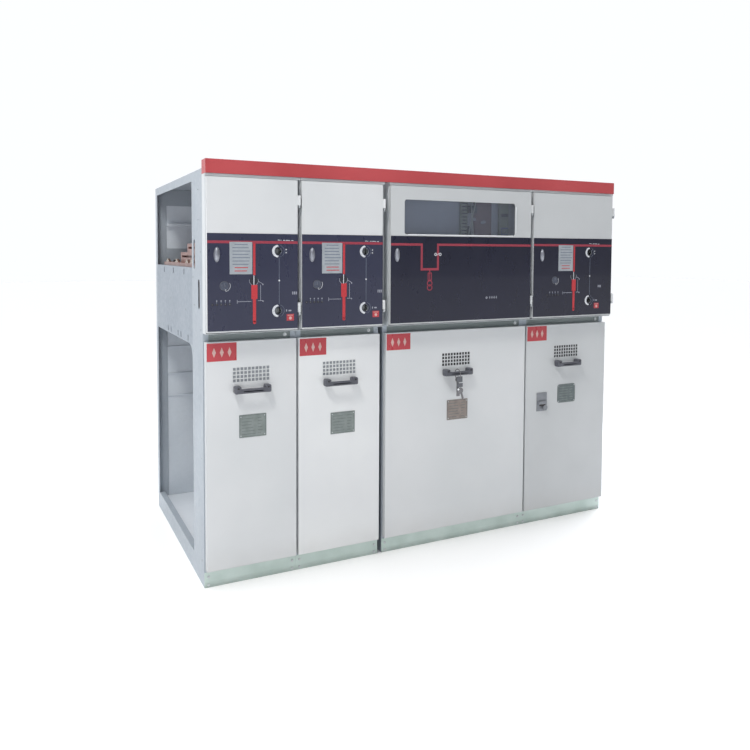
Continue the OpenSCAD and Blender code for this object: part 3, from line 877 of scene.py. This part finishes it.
def makeWideMarks(bm, number):
    corner = cornerOf(f"mimic_panel_{number}")
    ink = mimic["ink"]
    first, second, z = wideGlyphs["rings"]
    for x in (first, second):
        arc(bm, corner, (x, -0.1, z), *wideGlyphs["ring"], 0, 360, ink * 2, 0, 20)
    x, z, right, up = wideGlyphs["slant"]
    for step in (-1, 0, 1):
        strip(bm, corner, x + right * step, z + up * step, 3.4, 2.6, 0, 2.5)
    x, z = wideGlyphs["label"]
    arc(bm, corner, (x, 0, z), 2, 5, 0, 360, ink, 1, 12)
    x, z, pitch = wideGlyphs["bars"]
    for step in range(4):
        strip(bm, corner, x + pitch * step, z, 3, 12, 1)
        strip(bm, corner, x - 3 + pitch * step, z + 4, 8, 2, 1)


print("mimic panels")
for number in cubicles:
    door = f"upper_door_{number}"
    grip = makePiece(f"latch_grip_{number}", door, [satinChrome], "latch_metal", makeLatch, number)
    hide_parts(f"door_latch_{number}")
    if number == wideOne:
        makePiece("wide_bus_lines", door, [crimsonInk], "mimic_blue", makeWideLines, number)
        makePiece("wide_marks", door, [whiteInk, greyInk], "mimic_blue", makeWideMarks, number)
        continue
    for name, materials, slot, build in (
            ("bus_lines", [redInk, crimsonInk], "mimic_blue", switchLines),
            ("switch_marks", [whiteInk, blackInk, greyInk, slateInk], "mimic_blue", switchMarks),
            ("gas_gauge", [handleNylon, gaugeFace, slateInk, whiteInk], "latch_metal", makeGauge),
            ("indicator_sockets", [blackBoot, slateInk, greyInk], "latch_metal", makeLampRow),
            ("instruction_plate", [silverPlate, slateInk, redInk], "plate_grey", makeInstructionPlate),
            ("red_tag", [signRed, paleInk], "header_red", makeRedTag)):
        makePiece(f"{name}_{number}", door, materials, slot, build, number)


# ---- lower doors: signs, handles, plate details

sign = {
    "margin": 4,
    "size": (116, 70),
    "thick": 0.4,
    "lozenge": (7.5, 1, 19),        # half its width, depth, half its height
    "lozenges": (0.24, 0.5, 0.76),
    "lozengeDrop": 0.52,
}


def makeSign(bm, number):
    # red sign with three plain pale lozenges
    low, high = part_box(f"lower_door_{number}")
    corner = Vector((low.x, low.y, high.z))
    margin, thick, (wide, tall) = sign["margin"], sign["thick"], sign["size"]
    block(bm, corner, (margin, -thick, -margin - tall), (wide, thick, tall), 0, 0.15)
    for share in sign["lozenges"]:
        verts = bmesh.ops.create_cone(bm, cap_ends=True, segments=4, radius1=1, radius2=1,
                                      depth=0.3)["verts"]
        bmesh.ops.rotate(bm, cent=(0, 0, 0), matrix=Matrix.Rotation(math.radians(90), 3, "X"), verts=verts)
        bmesh.ops.scale(bm, vec=sign["lozenge"], verts=verts)
        z = -margin - tall * sign["lozengeDrop"]
        place(bm, verts, corner, (margin + wide * share, -thick - 0.1, z), 1)


bridge = {
    "reach": 34,
    "foot": (26, 30),       # width, height
    "footRound": 6,
    "bar": (12, 19),        # thickness, height
    "barRound": 4.5,
    "groove": (6, 1.2, 5),  # inset from the feet, depth, height
    "cap": 4.2,
}


def makeHandle(bm, number):
    # bridge handle: two rounded feet, and a bar that runs lower than their tops
    low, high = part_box(f"door_handle_{number}")
    centre = Vector(((low.x + high.x) / 2, high.y, (low.z + high.z) / 2))
    half, reach = (high.x - low.x) / 2 / mm, bridge["reach"]
    foot, tall = bridge["foot"]
    thick, bar = bridge["bar"]
    for side in (-half, half - foot):
        block(bm, centre, (side, -reach + 2, -tall / 2 + 2), (foot, reach - 2, tall), 0,
              bridge["footRound"], 4)
    block(bm, centre, (-half + 4, -reach, -tall / 2 + 3), (2 * half - 8, thick, bar), 0,
          bridge["barRound"], 4)
    inset, deep, high = bridge["groove"]
    block(bm, centre, (-half + foot + inset, -reach, -tall / 2 + 9.5),
          (2 * (half - foot - inset), deep, high), 0, 0.5)
    for side in (-half + foot / 2, half - foot / 2):
        disc(bm, centre, (side, -reach + 2.2, 8), bridge["cap"], 0.8, 1, 16, None, 0.3)


plate = {
    "rim": 3,
    "rimLine": 1.4,
    "lines": 6,
    "lineFrom": (10, 12),
    "lineHeight": 2,
    "rivet": (7, 7.5, 2.4),         # from the side, from the top or bottom, radius
}


def makePlateDetail(bm, number):
    # rim, etched rules and four fixing rivets
    low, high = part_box(f"inspection_plate_{number}")
    wide, tall = (high.x - low.x) / mm, (high.z - low.z) / mm
    rim, line = plate["rim"], plate["rimLine"]
    for z in (rim, tall - rim - line):
        block(bm, low, (rim, -0.2, z), (wide - 2 * rim, 0.2, line))
    for x in (rim, wide - rim - line):
        block(bm, low, (x, -0.2, rim + line), (line, 0.2, tall - 2 * (rim + line)))
    left, bottom = plate["lineFrom"]
    for row in range(plate["lines"]):
        z = bottom + row * (tall - 2 * bottom) / (plate["lines"] - 0.6)
        for x, shares in ((left, (0.35, 0.55)), (wide * 0.68, (0.1, 0.22))):
            length = wide * random.uniform(*shares)
            block(bm, low, (x, -0.15, z), (length, 0.15, plate["lineHeight"]))
    fromSide, fromEnd, radius = plate["rivet"]
    for x in (fromSide, wide - fromSide):
        for z in (fromEnd, tall - fromEnd):
            disc(bm, low, (x, 0, z), radius, 1.0, 1, 12, None, 0.5)


print("lower doors")
plateInks = {1: darkPlate, 2: darkPlate, 3: darkPlate, 4: anodised}
for number in cubicles:
    door = f"lower_door_{number}"
    makePiece(f"red_sign_{number}", door, [signRed, paleInk], "header_red", makeSign, number)
    grip = makePiece(f"bridge_handle_{number}", door, [handleNylon, blackBoot], "handle_grey",
                     makeHandle, number)
    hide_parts(f"door_handle_{number}")
    makePiece(f"plate_rules_{number}", door, [plateInks[number], zincBolt], "plate_grey",
              makePlateDetail, number)


keys = {
    "tab": (28, 3.2, 26),   # width, thickness, height
    "label": (30, 17, 5),   # width, height, gap below the tab
    "bow": 14,
    "bowAt": (4, -38),      # from the middle of the tab's lower edge
    "glint": (-8, -32, 6),
    "blade": (15, 22, -62),
    "tail": (9, 2.4, 26),
    "tailAt": (14, -62),
    "tailTurn": 18,
}


def makeKeyBunch(bm):
    # plastic tab and label under the handle, a key's bow with a painted highlight on its edge, the tails of two
    # keys
    low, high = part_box("key_ring")
    top = Vector(((low.x + high.x) / 2, low.y + 6 * mm, cornerOf(f"door_handle_{wideOne}").z))
    wide, thick, tall = keys["tab"]
    block(bm, top, (-wide / 2, 0, -tall), (wide, thick, tall), 0, 1.2)
    labelWide, labelTall, gap = keys["label"]
    block(bm, top, (-wide / 2, 0.4, -tall - labelTall - gap), (labelWide, thick, labelTall), 0, 1.2)
    x, z = keys["bowAt"]
    disc(bm, top, (x, 3, z - tall), keys["bow"], 2.4, 1, 28, None, 0.8)
    # painted highlight: a bright lozenge where the bow catches the light
    x, z, radius = keys["glint"]
    disc(bm, top, (x, 1, z - tall), radius, 1.4, 2, 4)
    bladeWide, bladeTall, z = keys["blade"]
    block(bm, top, (-wide / 2, 1.5, z - tall), (bladeWide, 2.4, bladeTall), 1, 0.8)
    verts = bmesh.ops.create_cube(bm, size=1)["verts"]
    bmesh.ops.scale(bm, vec=keys["tail"], verts=verts)
    turned = Matrix.Rotation(math.radians(-keys["tailTurn"]), 3, "Y")
    bmesh.ops.rotate(bm, cent=(0, 0, 0), matrix=turned, verts=verts)
    x, z = keys["tailAt"]
    place(bm, verts, top, (x, 3, z - tall), 1)


# shares of the lock's width and height
lock = {
    "slot": (0.12, 0.3, 0.6, 0.08),     # left, bottom, width, height
    "barrel": (0.72, 0.2, 0.2),         # right, up, radius
}


def makeLockDetail(bm):
    # finger slot and the rounded barrel of the paddle lock
    low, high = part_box("paddle_lock")
    wide, tall = (high.x - low.x) / mm, (high.z - low.z) / mm
    left, bottom, across, up = lock["slot"]
    block(bm, low, (wide * left, -0.3, tall * bottom), (wide * across, 0.3, tall * up), 1)
    right, up, radius = lock["barrel"]
    disc(bm, low, (wide * right, 0, tall * up), wide * radius, 3, 0, 24, None, 1)


makePiece("key_bunch", f"lower_door_{wideOne}", [tabGrey, keyMetal, keyGlintPainted], "stud_metal", makeKeyBunch)
makePiece("lock_detail", "lower_door_4", [lockGrey, blackBoot], "latch_metal", makeLockDetail)


# ---- what shows through the viewing window

behind = {
    "clear": 6,             # from the box's back sheet, mm
    "firstDuct": 0.545,     # shares of the pane's width
    "board": 0.67,
    "lastDuct": 0.9,
    "ductWidth": 34,
    "past": 20,             # how far ducts and board run past the pane, above and below
    "studs": ((0.665, 0.5), (0.735, 0.42), (0.755, 0.44)),
    "wires": ((0.585, 0.665, 3.2), (0.645, 0.61, 2.2)),     # foot and head as shares, radius
}


def windowFrame():
    # corner on the box's back sheet, and the pane's width and height in mm
    low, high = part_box("window_pane")
    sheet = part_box(f"mechanism_box_{wideOne}")[1].y
    return Vector((low.x, sheet, low.z)), (high.x - low.x) / mm, (high.z - low.z) / mm


def makeWiring(bm):
    # slotted ducts, relays, a terminal board and its studs
    corner, wide, tall = windowFrame()
    corner.y -= behind["clear"] * mm
    duct, past = behind["ductWidth"], behind["past"]
    x = wide * behind["firstDuct"]
    block(bm, corner, (x, -16, -past), (duct, 16, tall + 2 * past), 0, 1)
    for step in range(11):
        block(bm, corner, (x + 4, -16.6, step * 15), (duct - 8, 0.6, 5), 1)
    block(bm, corner, (x + duct + 6, -26, tall * 0.66), (38, 26, 34), 1, 1.5)
    block(bm, corner, (x + duct + 2, -22, -10), (12, 22, 62), 1, 1)
    block(bm, corner, (wide * behind["board"], -12, -past), (92, 12, tall + 2 * past), 2, 1)
    for across, up in behind["studs"]:
        disc(bm, corner, (wide * across, -12, tall * up), 7, 6, 3, 16, None, 1)
    x = wide * behind["lastDuct"]
    block(bm, corner, (x, -20, -past), (46, 20, tall + 2 * past), 0, 1)
    block(bm, corner, (x + 3, -25, tall * 0.58), (38, 5, 16), 1, 1)
    block(bm, corner, (x + 3, -25, 14), (38, 5, 34), 4, 1)
    for step in range(7):
        block(bm, corner, (x + 5 + step * 5, -26, 20), (3, 1, 22), 0)


def makeLooseWires(bm):
    # two wires that cross the window on a slant
    corner, wide, tall = windowFrame()
    for foot, head, radius in behind["wires"]:
        low = corner + Vector((foot * wide, -36, -0.1 * tall)) * mm
        high = corner + Vector((head * wide, -36, 1.1 * tall)) * mm
        stud(bm, low, high - low, radius, (high - low).length / mm, 0, 14)


# sizes of the painted highlight strip; lip is its width
windowHighlight = {"lap": 10, "lip": 3, "thick": 0.5, "corner": 14}


def makeWindowHighlight(bm):
    # painted highlight: a pale strip along the opening's bottom and right, where the cut edge catches the light
    low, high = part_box("window_pane")
    lap, lip, thick, bend = windowHighlight.values()
    corner = Vector((low.x, cornerOf(f"upper_door_{wideOne}").y, low.z))
    wide, tall = (high.x - low.x) / mm, (high.z - low.z) / mm
    block(bm, corner, (lap + bend, -thick, lap - lip), (wide - 2 * (lap + bend), thick, lip))
    block(bm, corner, (wide - lap, -thick, lap + bend), (lip, thick, tall - 2 * (lap + bend)))


print("behind the window")
makePiece("window_edge_highlight", f"upper_door_{wideOne}", [windowEdgeHighlight], "box_grey", makeWindowHighlight)
makePiece("window_wiring", "cubicles", [ductGrey, relayBlack, terminalBrown, zincBolt, blueSleeve],
          "box_grey", makeWiring)
makePiece("window_wires", "cubicles", [paleWire], "box_grey", makeLooseWires)


# ---- screens behind the vents

screen = {
    "size": (176, 74),
    "thick": 1.2,
    "behindFace": 4.2,      # its back, from the door's front
    "aboveHandle": 8,
}


def makeVentScreen(bm, number):
    # a woven screen, drawn as a sheet, a little larger than the field of holes
    handleLow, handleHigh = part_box(f"door_handle_{number}")
    face = cornerOf(f"lower_door_{number}").y
    wide, tall = screen["size"]
    corner = Vector(((handleLow.x + handleHigh.x) / 2, face + screen["behindFace"] * mm, handleHigh.z))
    block(bm, corner, (-wide / 2, -screen["thick"], screen["aboveHandle"]), (wide, screen["thick"], tall))


print("vent screens")
ventScreens = {1: meshGrey, 2: meshGrey, 3: meshBlack, 4: meshBlack}
for number in cubicles:
    makePiece(f"vent_screen_{number}", f"lower_door_{number}", [ventScreens[number]], "beam_grey",
              makeVentScreen, number)


# ---- cable bushings beside the switch studs

bushings = {
    "terminal": 11,         # radius of a terminal, mm
    "fromStud": 38,         # to the right of each stud
    "radius": 17,
    "height": 9,
    "pin": (6, 5),          # radius, height
    "drops": (110, 200, 420, 636),      # along the body, from its front
}


def makeBushings(bm):
    firstStud, front = cornerOf("switch_terminals"), cornerOf("switch_bodies").y
    low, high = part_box("side_posts_1")
    fromMiddle = firstStud.x + bushings["terminal"] * mm - (low.x + high.x) / 2
    up = (0, 0, 1)
    for number in cubicles:
        low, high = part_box(f"side_posts_{number}")
        x = (low.x + high.x) / 2 + fromMiddle + bushings["fromStud"] * mm
        for drop in bushings["drops"]:
            base = Vector((x, front + drop * mm, firstStud.z))
            stud(bm, base, up, bushings["radius"], bushings["height"], 0, 24)
            stud(bm, base + Vector(up) * bushings["height"] * mm, up, *bushings["pin"], 1, 16)


print("bushings")
makePiece("cable_bushings", "cubicles", [blackBoot, tinnedCopper], "stud_metal", makeBushings)


# ---- screws and bolts

fastening = {
    "plinthEdge": 11,
    "plinthHeights": (11, 42),
    "plinthRadius": 5.5,
    "beamEdge": 39,
    "beamHeight": 26,
    "rearEdge": 18,
    "rearPitch": 240,
    "roofEdge": 14,
    "roofPitch": 230,
}


def plinthScrews(bm):
    low = cornerOf("plinth_strips")
    edge = fastening["plinthEdge"] * mm
    for number in cubicles:
        doorLow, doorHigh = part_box(f"lower_door_{number}")
        for x in (doorLow.x + edge, doorHigh.x - edge):
            for z in fastening["plinthHeights"]:
                panScrew(bm, Vector((x, low.y, low.z)), (0, 0, z), fastening["plinthRadius"])


def beamBolts(bm):
    # a bright bolt at the right of each beam, a dull rivet at its left
    low = cornerOf("crossbeams")
    edge, height = fastening["beamEdge"] * mm, fastening["beamHeight"]
    for number in cubicles:
        doorLow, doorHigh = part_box(f"lower_door_{number}")
        bolt(bm, Vector((doorHigh.x - edge, low.y, low.z)), (0, 0, height), 8, 3.5)
        stud(bm, (doorLow.x + edge, low.y, low.z + height * mm), (0, -1, 0), 5.5, 0.8, 1)


def rearBolts(bm):
    # hexagon bolts on washers down both edges of every rear cover
    low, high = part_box("rear_covers")
    edge, pitch = fastening["rearEdge"] * mm, fastening["rearPitch"] * mm
    washer = 0.8
    for number in cubicles:
        postLow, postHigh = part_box(f"side_posts_{number}")
        for x in (postLow.x + edge, postHigh.x - edge):
            z = low.z + 60 * mm
            while z < high.z - 30 * mm:
                stud(bm, (x, high.y, z), (0, 1, 0), 7, washer, 0, 20)
                stud(bm, (x, high.y + washer * mm, z), (0, 1, 0), 5, 2.6, 0, 6)
                z += pitch


def roofScrews(bm):
    low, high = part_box("roof_sheets")
    edge, pitch = fastening["roofEdge"] * mm, fastening["roofPitch"] * mm
    for number in cubicles:
        postLow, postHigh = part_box(f"side_posts_{number}")
        for x in (postLow.x + edge, postHigh.x - edge):
            y = low.y + 40 * mm
            while y < high.y - 20 * mm:
                stud(bm, (x, y, high.z), (0, 0, 1), 6, 2.4, 0, 20)
                y += pitch


# back from the post's front and up from the floor in metres, radius in mm
sideRivets = (
    (0.035, 0.095, 5), (0.14, 1.09, 4), (0.03, 1.0, 3.5), (0.03, 0.5, 3.5),
    (0.03, 1.3, 3.5), (0.16, 1.2, 4), (0.3, 1.06, 5), (0.62, 1.09, 5),
)


def sideMarks(bm):
    # nearly flush rivets on the left end's posts and panel
    low = cornerOf("side_posts_1")
    for y, z, radius in sideRivets:
        stud(bm, (low.x - 0.02 * mm, low.y + y, low.z + z), (-1, 0, 0), radius, 0.15, 0, 16)


rainLip = {
    "proud": 9,             # in front of the mechanism box
    "sheet": 2,
    "gap": 2.5,             # above the door
    "fold": (8, 1.5),
}


def makeRainLips(bm):
    # folded lip of each mechanism box, between the upper door's top and the header
    for number in cubicles:
        low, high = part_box(f"mechanism_box_{number}")
        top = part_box(f"upper_door_{number}")[1].z
        corner = Vector((low.x, low.y, top))
        wide, tall = (high.x - low.x) / mm - 1, (high.z - top) / mm
        proud, sheet, (deep, thick) = rainLip["proud"], rainLip["sheet"], rainLip["fold"]
        block(bm, corner, (0.5, -proud, rainLip["gap"]), (wide, sheet, tall - rainLip["gap"] - 0.5))
        block(bm, corner, (0.5, sheet - proud, tall - thick - 0.5), (wide, deep, thick))


print("fasteners")
makePiece("rain_lips", "cubicles", [boxCoat], "box_grey", makeRainLips)
makePiece("plinth_screws", "cubicles", [zincBolt], "stud_metal", plinthScrews)
makePiece("beam_bolts", "cubicles", [zincBolt, shadedBeamZinc], "stud_metal", beamBolts)
makePiece("rear_bolts", "cubicles", [zincBolt], "stud_metal", rearBolts)
makePiece("roof_screws", "cubicles", [zincBolt], "stud_metal", roofScrews)
makePiece("side_rivets", "cubicles", [shadedBeamZinc], "stud_metal", sideMarks)
